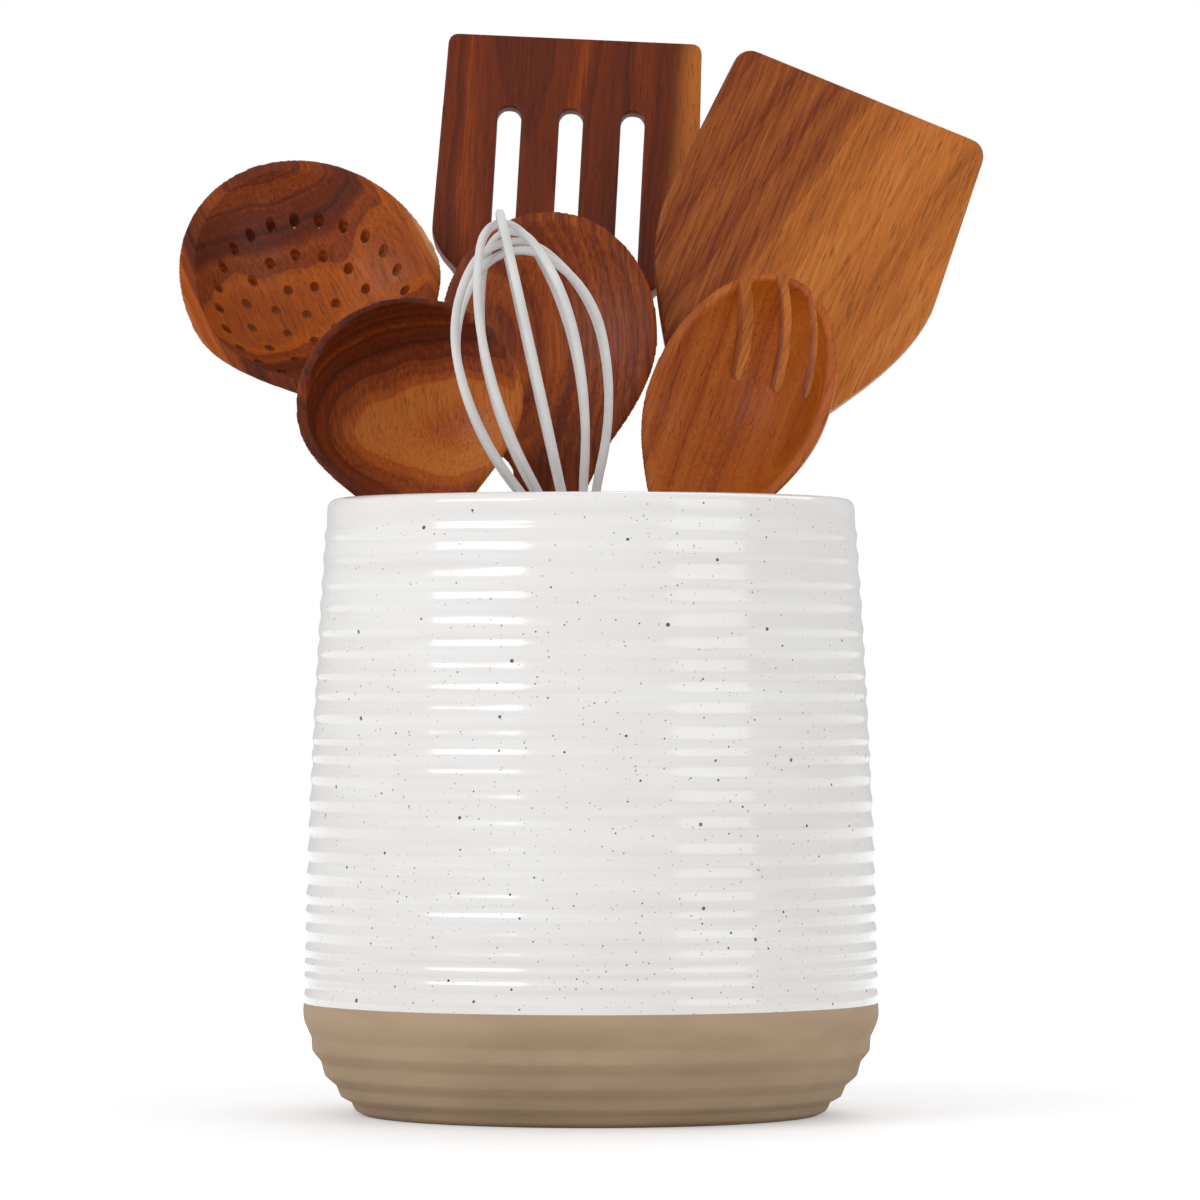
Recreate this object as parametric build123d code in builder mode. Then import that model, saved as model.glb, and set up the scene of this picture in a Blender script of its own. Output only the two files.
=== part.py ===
"""Ribbed stoneware utensil crock with six carved wooden utensils and a coated balloon whisk.

Millimetres. +Z is up, the origin is the centre of the crock's flat foot, and -Y is the side that
faces a viewer. Every utensil is drawn upright in its own frame, with its front towards -Y and the
centre of its rounded end at the origin, and is then stood in the crock on its own plane.
"""

import os
from math import asin, atan2, cos, hypot, pi, sin, sqrt

from build123d import *

# Fits
clearance = 0.3  # between a utensil's end and the floor it rests on
joint_gap = 0.05  # between a wire's coating, its core, and what holds it
overrun = 2.0  # how far a cut runs past what it cuts

# Crock: a flat foot, a ribbed heel, and a wall that narrows to a rolled lip
crock_height = 176.5
belly_radius = 82.5
belly_height = 34.0
wall_taper = 3.2
wall_bow = 3.7
heel_radius = 42.2
wall_thickness = 6.0
floor_thickness = 7.5
glaze_thickness = 0.5
glaze_line_height = 30.8
rib_depth = 0.45
rib_pitch = 6.1
first_rib_height = 34.1
rib_pitch_shares = (
    0.90, 0.64, 0.62, 0.90, 0.90, 0.77, 1.03, 1.08, 1.18, 1.21, 1.18, 0.93,
    0.77, 1.18, 0.98, 0.90, 1.08, 0.95, 1.21, 0.98, 1.26, 1.00, 0.80,
)
heel_rib_depth = 1.0
heel_groove_shares = (0.302, 0.499, 0.705, 0.873)

# Handles of the wooden utensils
handle_end_radius = 5.3
handle_radius = 5.7
neck_radius = 4.9
hang_hole_radius = 2.2
hang_hole_height = 9.0

# Slotted turner
slotted_length = 327.0
slotted_head_length = 112.0
slotted_width = 80.0
slotted_tip_width = 77.0
slotted_thickness = 6.0
slotted_tip_thickness = 3.4
slot_width = 7.2
slot_pitch = 18.7
slot_length = 64.0
slot_margin = 24.0
slotted_corner_radius = 3.0
slotted_shoulder_share = 0.42
blend_share = 0.30  # of a turner's head that its handle tapers out in

# Solid turner
solid_length = 310.0
solid_head_length = 144.0
solid_width = 86.0
solid_tip_width = 79.0
solid_thickness = 6.5
solid_tip_thickness = 3.8
solid_corner_radius = 5.0
solid_shoulder_share = 0.645

# Skimmer
skimmer_length = 309.0
skimmer_bowl_length = 94.0
skimmer_bowl_width = 80.0
skimmer_bowl_depth = 21.0
skimmer_wall = 4.0
skimmer_widest_share = 0.53
skimmer_hole_radius = 1.45
skimmer_ring_pitch = 9.4
skimmer_ring_counts = (7, 14, 24)

# Serving spoon
serving_length = 224.0
serving_bowl_length = 76.0
serving_bowl_width = 68.0
serving_bowl_depth = 17.0
serving_wall = 2.6
serving_widest_share = 0.58

# Mixing spoon
mixing_length = 257.0
mixing_bowl_length = 98.0
mixing_bowl_width = 66.0
mixing_bowl_depth = 11.0
mixing_wall = 2.4
mixing_widest_share = 0.60

# Salad fork
fork_length = 244.0
fork_bowl_length = 98.0
fork_bowl_width = 64.0
fork_bowl_depth = 20.0
fork_wall = 3.4
fork_widest_share = 0.60
fork_slot_width = 4.0
fork_slot_pitch = 12.5
fork_slot_depth = 31.0

# Where a bowl's width is set along its length, and how it swells and closes
section_shares = (0.0, 0.12, 0.24, 0.36, 0.48, 0.60, 0.70, 0.80, 0.89, 0.96, 1.0)
bowl_swell = 0.85
bowl_crown = 2.1
spine_share = 0.40  # of a bowl's length that its handle tapers out behind

# Whisk
whisk_end_radius = 6.3
whisk_handle_radius = 7.2
whisk_handle_length = 124.0
ferrule_radius = 7.8
ferrule_wall = 0.8
ferrule_length = 20.0
tenon_length = 9.0
plug_length = 13.0
plug_dome = 2.0
wire_radius = 1.25
core_radius = 0.6
wire_seat_depth = 9.0
wire_foot_radius = 4.7
balloon_radius = 21.8
balloon_height = 112.0
balloon_widest_share = 0.64
crown_radius = 15.5
wire_count = 5
wire_order = (0, 2, 4, 3, 1)
wire_first_turn = -90.0

# How each utensil stands: where its end rests on the crock's floor and where it passes the mouth,
# as shares of the floor's and the mouth's radius, and how far it is turned about its own length.
slotted_foot_shares, slotted_mouth_shares, slotted_turn = (-0.323, 0.008), (-0.176, 0.869), 0.0
solid_foot_shares, solid_mouth_shares, solid_turn = (-0.574, 0.576), (0.440, 0.762), 0.0
skimmer_foot_shares, skimmer_mouth_shares, skimmer_turn = (0.497, -0.328), (-0.728, 0.517), 12.0
serving_foot_shares, serving_mouth_shares, serving_turn = (-0.457, 0.325), (-0.712, 0.192), 13.0
mixing_foot_shares, mixing_mouth_shares, mixing_turn = (-0.040, 0.022), (-0.143, 0.570), -4.0
fork_foot_shares, fork_mouth_shares, fork_turn = (-0.437, -0.288), (0.485, -0.024), -34.0
whisk_foot_shares, whisk_mouth_shares, whisk_turn = (0.427, -0.724), (-0.117, -0.484), 0.0

# Worked out
lip_radius = wall_thickness / 2
lip_height = crock_height - lip_radius
heel_centre_radius = belly_radius - heel_radius
heel_sweep = asin(belly_height / heel_radius)
balloon_widest = balloon_height * balloon_widest_share
wire_pitch = 2 * wire_radius + clearance
rim_place = (0, -neck_radius, 0)  # where a spoon's rim stands from the middle of its handle
slotted_blend = slotted_head_length * blend_share
solid_blend = solid_head_length * blend_share
ferrule_low = whisk_handle_length - tenon_length
tenon_radius = ferrule_radius - ferrule_wall - joint_gap
plug_top = whisk_handle_length + joint_gap + plug_length
plug_dome_radius = (tenon_radius**2 + plug_dome**2) / (2 * plug_dome)


def wall_radius(height):
    """Radius of the crock's smooth outer surface from the belly up."""
    share = (height - belly_height) / (crock_height - belly_height)
    return belly_radius - wall_taper * share - wall_bow * share**2


def heel_radius_at(height, depth):
    """Radius of the heel's arc at a height, at a depth in from the outer surface."""
    return heel_centre_radius + sqrt((heel_radius - depth) ** 2 - (belly_height - height) ** 2)


def heel_point(share, offset):
    """A point of the heel's arc, from the belly (0) to the foot (1), moved out by an offset."""
    angle = share * heel_sweep
    reach = heel_radius + offset
    return (heel_centre_radius + reach * cos(angle), belly_height - reach * sin(angle))


mouth_radius = wall_radius(lip_height) - wall_thickness
floor_radius = heel_radius_at(floor_thickness, wall_thickness)


def rib_points(depth):
    """Crests and grooves of the glazed wall's ribs, at a depth in from the outer surface."""
    points = []
    crest = first_rib_height
    for share in rib_pitch_shares:
        groove = crest + share * rib_pitch / 2
        points.append((wall_radius(crest) + rib_depth / 2 - depth, crest))
        points.append((wall_radius(groove) - rib_depth / 2 - depth, groove))
        crest += share * rib_pitch
    return points


def line_point(depth):
    """Where the glaze line is, at a depth in from the outer surface."""
    return (wall_radius(glaze_line_height) - depth, glaze_line_height)


def lip_points(inset):
    """The rolled lip's outer, top and inner points, for a lip drawn in by an inset."""
    middle = wall_radius(lip_height) - lip_radius
    reach = lip_radius - inset
    return (middle + reach, lip_height), (middle, lip_height + reach), (middle - reach, lip_height)


def inner_wall(depth, floor_height):
    """Points of three arcs' ends and middles down the inside, from the lip to the floor."""
    half_height = (lip_height + belly_height) / 2
    knee = (belly_height - floor_height) / 2
    return (
        (wall_radius(lip_height) - depth, lip_height),
        (wall_radius(half_height) - depth, half_height),
        (belly_radius - depth, belly_height),
        (heel_radius_at(belly_height - knee, depth), belly_height - knee),
        (heel_radius_at(floor_height, depth), floor_height),
    )


clay_wall = wall_thickness - glaze_thickness
clay_floor = floor_thickness - glaze_thickness
clay_lip = lip_points(glaze_thickness)
glaze_lip = lip_points(0)
clay_inside = inner_wall(clay_wall, clay_floor)
glaze_inside = inner_wall(wall_thickness, floor_thickness)
heel_grooves = [
    heel_point(0, 0),
    *(heel_point(share, -heel_rib_depth / 2) for share in heel_groove_shares),
    heel_point(1, 0),
]
heel_crests = [
    heel_point((upper + lower) / 2, heel_rib_depth / 2)
    for upper, lower in zip((0, *heel_groove_shares), (*heel_groove_shares, 1))
]

# Crock body: raw clay below the glaze line, and under the glaze above it
with BuildPart() as crock_body:
    with BuildSketch(Plane.XZ):
        with BuildLine():
            Line((0, 0), heel_grooves[-1])
            for upper, crest, lower in zip(heel_grooves, heel_crests, heel_grooves[1:]):
                ThreePointArc(upper, crest, lower)
            Line(heel_grooves[0], line_point(0))
            Line(line_point(0), line_point(glaze_thickness))
            Spline(line_point(glaze_thickness), *rib_points(glaze_thickness), clay_lip[0])
            ThreePointArc(*clay_lip)
            ThreePointArc(*clay_inside[:3])
            ThreePointArc(*clay_inside[2:])
            Polyline(clay_inside[-1], (0, clay_floor), (0, 0))
        make_face()
    revolve(axis=Axis.Z)

# Crock glaze: one thin coat from the glaze line, over the lip, and down across the floor
with BuildPart() as crock_glaze:
    with BuildSketch(Plane.XZ):
        with BuildLine():
            Line(line_point(glaze_thickness), line_point(0))
            Spline(line_point(0), *rib_points(0), glaze_lip[0])
            ThreePointArc(*glaze_lip)
            ThreePointArc(*glaze_inside[:3])
            ThreePointArc(*glaze_inside[2:])
            Polyline(glaze_inside[-1], (0, floor_thickness), (0, clay_floor), clay_inside[-1])
            ThreePointArc(*clay_inside[2:])
            ThreePointArc(*clay_inside[:3])
            ThreePointArc(*clay_lip)
            Spline(line_point(glaze_thickness), *rib_points(glaze_thickness), clay_lip[0])
        make_face()
    revolve(axis=Axis.Z)


def turned_plane(plane, turn):
    """The plane turned about its own normal."""
    return Plane(plane.location * Rotation(0, 0, turn))


def stand(foot_shares, mouth_shares, turn, end_radius):
    """The plane a utensil stands on: its origin is the centre of the utensil's rounded end."""
    foot = Vector(
        foot_shares[0] * floor_radius,
        foot_shares[1] * floor_radius,
        floor_thickness + clearance + end_radius,
    )
    mouth = Vector(mouth_shares[0] * mouth_radius, mouth_shares[1] * mouth_radius, crock_height)
    along = (mouth - foot).normalized()
    across = Vector(1, 0, 0) - along * along.X
    return turned_plane(Plane(origin=foot, x_dir=across, z_dir=along), turn)


def handle(length, blend):
    """A turned handle with a rounded end and a hanging hole, tapered out inside the head."""
    with BuildPart() as turned:
        with BuildSketch(Plane.XZ):
            with BuildLine():
                RadiusArc((0, -handle_end_radius), (handle_end_radius, 0), -handle_end_radius)
                Spline(
                    (handle_end_radius, 0),
                    (handle_radius, length / 2),
                    (neck_radius, length),
                    tangents=((0, 1), (0, 1)),
                )
                Spline(
                    (neck_radius, length),
                    (0, length + blend),
                    tangents=((0, 1), (-neck_radius, blend)),
                )
                Line((0, length + blend), (0, -handle_end_radius))
            make_face()
        revolve(axis=Axis.Z)
        with BuildSketch(Plane.XZ):
            with Locations((0, hang_hole_height)):
                Circle(hang_hole_radius)
        extrude(amount=handle_radius + overrun, both=True, mode=Mode.SUBTRACT)
    return turned.part


def turner_blade(width, tip_width, thickness, tip_thickness, shoulder_share, neck, tip):
    """A flat blade: its front outline, thinned by its side outline from the neck to the tip."""
    shoulder = neck + (tip - neck) * shoulder_share
    with BuildPart() as blade:
        with BuildSketch(Plane.XZ):
            with BuildLine():
                Line((0, neck), (neck_radius / 2, neck))
                Spline(
                    (neck_radius / 2, neck), (width / 2, shoulder), tangents=((0, 1), (0, 1))
                )
                Polyline((width / 2, shoulder), (tip_width / 2, tip), (0, tip))
                mirror(about=Plane.YZ)
            make_face()
        extrude(amount=neck_radius, both=True)
        with BuildSketch(Plane.YZ):
            with BuildLine():
                Line((0, neck), (neck_radius, neck))
                Spline(
                    (neck_radius, neck), (thickness / 2, shoulder), tangents=((0, 1), (0, 1))
                )
                Polyline((thickness / 2, shoulder), (tip_thickness / 2, tip), (0, tip))
                mirror(about=Plane.YZ)
            make_face()
        extrude(amount=width, both=True, mode=Mode.INTERSECT)
    return blade.part


def tip_corners(part):
    """The two edges across a blade's thickness at its tip."""
    return part.edges().filter_by(Axis.Y).group_by(Axis.Z)[-1]


def swell(share, widest_share, neck_share):
    """Width of a bowl, as a share of its widest, at a share of its length from the neck."""
    if share < widest_share:
        rise = 0.5 - 0.5 * cos(pi * (share / widest_share) ** bowl_swell)
        return neck_share + (1 - neck_share) * rise
    return sqrt(1 - ((share - widest_share) / (1 - widest_share)) ** bowl_crown)


def bowl(width, depth, wall, low, tip, widest_share):
    """A bowl's shape turned about an axis in front of its rim, drawn in from the back by a wall."""
    centre = ((width / 2) ** 2 - depth**2) / (2 * depth)
    points = []
    for share in section_shares:
        half_width = width / 2 * swell(share, widest_share, 2 * neck_radius / width)
        back = hypot(half_width, centre) - centre - wall
        points.append((back, low + (tip - low) * share))
    with BuildPart() as turned:
        with BuildSketch(Plane.YZ):
            with BuildLine():
                Spline(*points)
                Polyline(points[-1], (-centre, tip), (-centre, low), points[0])
            make_face()
        revolve(axis=Axis((0, -centre, 0), (0, 0, 1)))
    return turned.part


def spoon(length, bowl_length, width, depth, wall, widest_share):
    """A spoon, upright: a handle behind the plane of a flat rim, and a bowl hollowed from it."""
    low = length - bowl_length
    with BuildPart() as carved:
        add(bowl(width, depth, 0, low, length, widest_share))
        split(bisect_by=Plane.XZ, keep=Keep.BOTTOM)
        with Locations((0, neck_radius, 0)):
            add(handle(low, bowl_length * spine_share))
        add(bowl(width, depth, wall, low, length, widest_share), mode=Mode.SUBTRACT)
    return carved.part


slotted_stand = stand(slotted_foot_shares, slotted_mouth_shares, slotted_turn, handle_end_radius)
solid_stand = stand(solid_foot_shares, solid_mouth_shares, solid_turn, handle_end_radius)
skimmer_stand = stand(skimmer_foot_shares, skimmer_mouth_shares, skimmer_turn, handle_end_radius)
serving_stand = stand(serving_foot_shares, serving_mouth_shares, serving_turn, handle_end_radius)
mixing_stand = stand(mixing_foot_shares, mixing_mouth_shares, mixing_turn, handle_end_radius)
fork_stand = stand(fork_foot_shares, fork_mouth_shares, fork_turn, handle_end_radius)
whisk_stand = stand(whisk_foot_shares, whisk_mouth_shares, whisk_turn, whisk_end_radius)
whisk_axis = Axis(whisk_stand.origin, whisk_stand.z_dir)
whisk_front = Plane(
    origin=whisk_stand.origin, x_dir=whisk_stand.x_dir, z_dir=whisk_stand.y_dir * -1
)

# Slotted turner, upright: a thin blade on a round handle, with three long slots
slotted_neck = slotted_length - slotted_head_length
with BuildPart() as upright_slotted:
    add(handle(slotted_neck + slotted_blend, slotted_blend))
    add(
        turner_blade(
            slotted_width,
            slotted_tip_width,
            slotted_thickness,
            slotted_tip_thickness,
            slotted_shoulder_share,
            slotted_neck,
            slotted_length,
        )
    )
    fillet(tip_corners(upright_slotted), slotted_corner_radius)
    with BuildSketch(Plane.XZ):
        with Locations((0, slotted_length - slot_margin - slot_length / 2)):
            with GridLocations(slot_pitch, slot_length, 3, 1):
                SlotOverall(slot_length, slot_width, rotation=90)
    extrude(amount=slotted_thickness, both=True, mode=Mode.SUBTRACT)

# Slotted turner in the crock
with BuildPart() as slotted_turner:
    with Locations(slotted_stand):
        add(upright_slotted.part)

# Solid turner, upright
solid_neck = solid_length - solid_head_length
with BuildPart() as upright_solid:
    add(handle(solid_neck + solid_blend, solid_blend))
    add(
        turner_blade(
            solid_width,
            solid_tip_width,
            solid_thickness,
            solid_tip_thickness,
            solid_shoulder_share,
            solid_neck,
            solid_length,
        )
    )
    fillet(tip_corners(upright_solid), solid_corner_radius)

# Solid turner in the crock
with BuildPart() as solid_turner:
    with Locations(solid_stand):
        add(upright_solid.part)

# Skimmer, upright: a deep bowl drilled with rings of round holes
skimmer_low = skimmer_length - skimmer_bowl_length
with BuildPart() as upright_skimmer:
    add(
        spoon(
            skimmer_length,
            skimmer_bowl_length,
            skimmer_bowl_width,
            skimmer_bowl_depth,
            skimmer_wall,
            skimmer_widest_share,
        )
    )
    with BuildSketch(Plane.XZ):
        with Locations((0, skimmer_low + skimmer_bowl_length * skimmer_widest_share)):
            Circle(skimmer_hole_radius)
            for ring, count in enumerate(skimmer_ring_counts, start=1):
                with PolarLocations(ring * skimmer_ring_pitch, count):
                    Circle(skimmer_hole_radius)
    extrude(amount=-skimmer_bowl_depth - overrun, mode=Mode.SUBTRACT)

# Skimmer in the crock
with BuildPart() as skimmer:
    with Locations(skimmer_stand):
        with Locations(rim_place):
            add(upright_skimmer.part)

# Serving spoon: a deep round bowl on a short handle
with BuildPart() as serving_spoon:
    with Locations(serving_stand):
        with Locations(rim_place):
            add(
                spoon(
                    serving_length,
                    serving_bowl_length,
                    serving_bowl_width,
                    serving_bowl_depth,
                    serving_wall,
                    serving_widest_share,
                )
            )

# Mixing spoon: a long shallow bowl
with BuildPart() as mixing_spoon:
    with Locations(mixing_stand):
        with Locations(rim_place):
            add(
                spoon(
                    mixing_length,
                    mixing_bowl_length,
                    mixing_bowl_width,
                    mixing_bowl_depth,
                    mixing_wall,
                    mixing_widest_share,
                )
            )

# Salad fork, upright: a deep bowl whose tip is cut into four tines
with BuildPart() as upright_fork:
    add(
        spoon(
            fork_length,
            fork_bowl_length,
            fork_bowl_width,
            fork_bowl_depth,
            fork_wall,
            fork_widest_share,
        )
    )
    with BuildSketch(Plane.XZ):
        with Locations((0, fork_length)):
            with GridLocations(fork_slot_pitch, fork_slot_depth, 3, 1):
                SlotOverall(2 * fork_slot_depth, fork_slot_width, rotation=90)
    extrude(amount=fork_bowl_depth + overrun, both=True, mode=Mode.SUBTRACT)

# Salad fork in the crock
with BuildPart() as salad_fork:
    with Locations(fork_stand):
        with Locations(rim_place):
            add(upright_fork.part)

# Whisk handle: a turned grip with a tenon at its top for the ferrule
with BuildPart() as whisk_handle:
    with BuildSketch(whisk_front):
        with BuildLine():
            RadiusArc((0, -whisk_end_radius), (whisk_end_radius, 0), -whisk_end_radius)
            Spline(
                (whisk_end_radius, 0),
                (whisk_handle_radius, whisk_handle_length / 2),
                (ferrule_radius, ferrule_low),
                tangents=((0, 1), (0, 1)),
            )
            Polyline(
                (ferrule_radius, ferrule_low),
                (tenon_radius, ferrule_low),
                (tenon_radius, whisk_handle_length),
                (0, whisk_handle_length),
                (0, -whisk_end_radius),
            )
        make_face()
    revolve(axis=whisk_axis)

# Whisk ferrule: a thin steel tube over the tenon and the plug
with BuildPart() as whisk_ferrule:
    with BuildSketch(whisk_stand.offset(ferrule_low + joint_gap)):
        Circle(ferrule_radius)
        Circle(ferrule_radius - ferrule_wall, mode=Mode.SUBTRACT)
    extrude(amount=ferrule_length)

# Whisk plug: a moulded cap with a hole for each wire
with BuildPart() as whisk_plug:
    with BuildSketch(whisk_front):
        with BuildLine():
            Polyline(
                (0, plug_top),
                (0, whisk_handle_length + joint_gap),
                (tenon_radius, whisk_handle_length + joint_gap),
                (tenon_radius, plug_top - plug_dome),
            )
            RadiusArc((tenon_radius, plug_top - plug_dome), (0, plug_top), -plug_dome_radius)
        make_face()
    revolve(axis=whisk_axis)
    with BuildSketch(whisk_stand.offset(plug_top - wire_seat_depth - joint_gap)):
        with PolarLocations(wire_foot_radius, 2 * wire_count, start_angle=wire_first_turn):
            Circle(wire_radius + joint_gap)
    extrude(amount=wire_seat_depth + overrun, mode=Mode.SUBTRACT)


def loop_path(layer):
    """A whisk loop's line, upright: from its seat, out, over the top and back down again."""
    seat = plug_top - wire_seat_depth
    widest = plug_top + balloon_widest
    top = plug_top + balloon_height - layer * wire_pitch
    rise = top - widest - crown_radius
    side_radius = (balloon_radius**2 + rise**2 - crown_radius**2) / (
        2 * (balloon_radius - crown_radius)
    )
    lean = atan2(rise, side_radius - balloon_radius)
    with BuildLine(Plane.XZ) as path:
        for side in (-1, 1):
            foot = (side * wire_foot_radius, plug_top)
            spread = (side * (wire_foot_radius + balloon_radius) / 2, (plug_top + widest) / 2)
            bulge = (side * balloon_radius, widest)
            shoulder = (side * crown_radius * cos(lean), top - crown_radius * (1 - sin(lean)))
            Line((side * wire_foot_radius, seat), foot)
            TangentArc(foot, spread, tangent=(0, 1))
            TangentArc(bulge, spread, tangent=(0, -1))
            TangentArc(bulge, shoulder, tangent=(0, 1))
            TangentArc((0, top), shoulder, tangent=(side, 0))
    return path.wire()


def wire(path, outer_radius, inner_radius):
    """A round wire along a loop's line, hollow where it coats a core."""
    with BuildPart() as swept:
        with BuildSketch(Plane(origin=path @ 0, z_dir=path % 0)):
            Circle(outer_radius)
            if inner_radius:
                Circle(inner_radius, mode=Mode.SUBTRACT)
        sweep(path=path)
    return swept.part


parts = {
    "crock_body": crock_body,
    "crock_glaze": crock_glaze,
    "slotted_turner": slotted_turner,
    "solid_turner": solid_turner,
    "skimmer": skimmer,
    "serving_spoon": serving_spoon,
    "mixing_spoon": mixing_spoon,
    "salad_fork": salad_fork,
    "whisk_handle": whisk_handle,
    "whisk_ferrule": whisk_ferrule,
    "whisk_plug": whisk_plug,
}

# Whisk wires: a steel core in a soft coating for each loop, each loop a little under the last
for number, layer in enumerate(wire_order):
    path = loop_path(layer)
    turn = wire_first_turn + number * 180 / wire_count
    with BuildPart() as core:
        with Locations(turned_plane(whisk_stand, turn)):
            add(wire(path, core_radius, 0))
    with BuildPart() as coating:
        with Locations(turned_plane(whisk_stand, turn)):
            add(wire(path, wire_radius, core_radius + joint_gap))
    parts[f"whisk_core_{number + 1}"] = core
    parts[f"whisk_coating_{number + 1}"] = coating

os.makedirs("parts", exist_ok=True)
for label, builder in parts.items():
    builder.part.label = label
    export_step(builder.part, f"parts/{label}.step")
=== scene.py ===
"""Dresses the ribbed utensil crock: a speckled glaze over a bare clay heel, six carved wooden
utensils and a coated whisk, on a pale studio floor.

Metres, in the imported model's frame: +Z is up, the origin is under the crock, and -Y is towards the
camera. Each utensil is modelled upright in its own frame, with the centre of its rounded end at the
origin and its front towards -Y, and is then stood in the crock.
"""

from dataclasses import dataclass
from math import acos, asin, atan2, cos, exp, hypot, pi, radians, sin, sqrt

import bpy
from bpy.props import FloatProperty, FloatVectorProperty, PointerProperty
from mathutils import Matrix, Vector, noise


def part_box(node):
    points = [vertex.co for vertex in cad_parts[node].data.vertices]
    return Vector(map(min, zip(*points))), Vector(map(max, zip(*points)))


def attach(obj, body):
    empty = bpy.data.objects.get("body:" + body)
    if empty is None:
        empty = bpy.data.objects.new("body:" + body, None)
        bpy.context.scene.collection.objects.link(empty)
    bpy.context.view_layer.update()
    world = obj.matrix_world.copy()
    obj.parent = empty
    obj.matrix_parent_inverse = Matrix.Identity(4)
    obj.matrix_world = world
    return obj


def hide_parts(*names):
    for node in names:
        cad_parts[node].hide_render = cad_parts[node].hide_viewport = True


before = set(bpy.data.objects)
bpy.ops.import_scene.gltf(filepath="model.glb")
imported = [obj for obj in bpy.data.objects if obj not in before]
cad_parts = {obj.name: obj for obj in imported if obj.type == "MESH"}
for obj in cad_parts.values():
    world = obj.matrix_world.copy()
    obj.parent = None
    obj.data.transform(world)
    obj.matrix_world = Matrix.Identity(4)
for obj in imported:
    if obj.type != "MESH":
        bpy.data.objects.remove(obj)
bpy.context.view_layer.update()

bl_info = {
    "name": "Utensil crock",
    "version": (1, 0, 0),
    "blender": (4, 5, 0),
    "location": "View3D > Sidebar > Crock",
    "description": "Models a ribbed crock, its wooden utensils and its whisk, and sets the studio",
    "category": "Add Mesh",
}

MM = 0.001
WELD = 0.001 * MM
SMOOTH_ANGLE = radians(40)
SMALL_SHARE = 1e-5
QUARTER_TURN = (pi / 2, 0, 0)
WHITE = (1, 1, 1)

# Crock, as in the solids
LIP_RADIUS_SHARE = 0.5  # of the wall's thickness
BELLY_HEIGHT = 34.0 * MM
WALL_TAPER = 3.2 * MM
WALL_BOW = 3.7 * MM
HEEL_RADIUS = 42.2 * MM
FLOOR_THICKNESS = 7.5 * MM
GLAZE_THICKNESS = 0.5 * MM
GLAZE_LINE_HEIGHT = 30.8 * MM
GLAZE_BEAD = 0.35 * MM
RIB_PITCH = 6.1 * MM
FIRST_RIB_HEIGHT = 34.1 * MM
RIB_PITCH_SHARES = (
    0.90, 0.64, 0.62, 0.90, 0.90, 0.77, 1.03, 1.08, 1.18, 1.21, 1.18, 0.93,
    0.77, 1.18, 0.98, 0.90, 1.08, 0.95, 1.21, 0.98, 1.26, 1.00, 0.80,
)
HEEL_RIB_DEPTH = 1.0 * MM
HEEL_GROOVE_SHARES = (0.302, 0.499, 0.705, 0.873)
RIB_STEPS = 6
WALL_STEPS = 24
CROCK_STEPS = 200
THROWN_REACH = 0.16 * MM
THROWN_SCALE = 55.0
THROWN_STRETCH = 5  # how much closer the unevenness is up the wall than round it

# Handles of the wooden utensils
HANDLE_END_RADIUS = 5.3 * MM
HANDLE_RADIUS = 5.7 * MM
NECK_RADIUS = 4.9 * MM
HANG_HOLE_RADIUS = 2.2 * MM
HANG_HOLE_HEIGHT = 9.0 * MM
HANDLE_STEPS = 48
END_STEPS = 12
GRIP_STEPS = 40

# How bowls swell and close
BOWL_SWELL = 0.85
BOWL_CROWN = 2.1
BOWL_SEGMENTS = 128
BOWL_RINGS = 72
HANDLE_TIP_SHARE = 0.15  # of a bowl's length that the handle's tip reaches into
SPINE_SHARE = 0.40  # of a bowl's length that its spine runs up
SPINE_SPREAD = 1.5  # neck radii across which the spine fades
RIM_SHARE = 0.10  # of a bowl's front rings that are on its flat rim
SEARCH_STEPS = 24

# How carved wood is finished
VOXEL = 0.55 * MM
SANDED_PASSES = 5
SANDED_SHARE = 0.5


@dataclass(frozen=True)
class Turner:
    """A flat blade on a round handle."""

    node: str
    length: float
    head_length: float
    width: float
    tip_width: float
    thickness: float
    tip_thickness: float
    corner_radius: float
    shoulder_share: float

    @property
    def neck(self):
        return self.length - self.head_length

    @property
    def shoulder(self):
        return self.neck + self.head_length * self.shoulder_share


@dataclass(frozen=True)
class Spoon:
    """A carved bowl on a round handle behind its rim."""

    node: str
    length: float
    bowl_length: float
    width: float
    depth: float
    wall: float
    widest_share: float

    @property
    def low(self):
        return self.length - self.bowl_length

    @property
    def widest(self):
        return self.low + self.bowl_length * self.widest_share


SLOTTED = Turner(
    "slotted_turner", 327 * MM, 112 * MM, 80 * MM, 77 * MM, 6 * MM, 3.4 * MM, 3 * MM, 0.42
)
SOLID = Turner(
    "solid_turner", 310 * MM, 144 * MM, 86 * MM, 79 * MM, 6.5 * MM, 3.8 * MM, 5 * MM, 0.645
)
SKIMMER = Spoon("skimmer", 309 * MM, 94 * MM, 80 * MM, 21 * MM, 4 * MM, 0.53)
SERVING = Spoon("serving_spoon", 224 * MM, 76 * MM, 68 * MM, 17 * MM, 2.6 * MM, 0.58)
MIXING = Spoon("mixing_spoon", 257 * MM, 98 * MM, 66 * MM, 11 * MM, 2.4 * MM, 0.60)
FORK = Spoon("salad_fork", 244 * MM, 98 * MM, 64 * MM, 20 * MM, 3.4 * MM, 0.60)
TURNER_BLEND_SHARE = 0.30
BLADE_CUTS = 40

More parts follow.
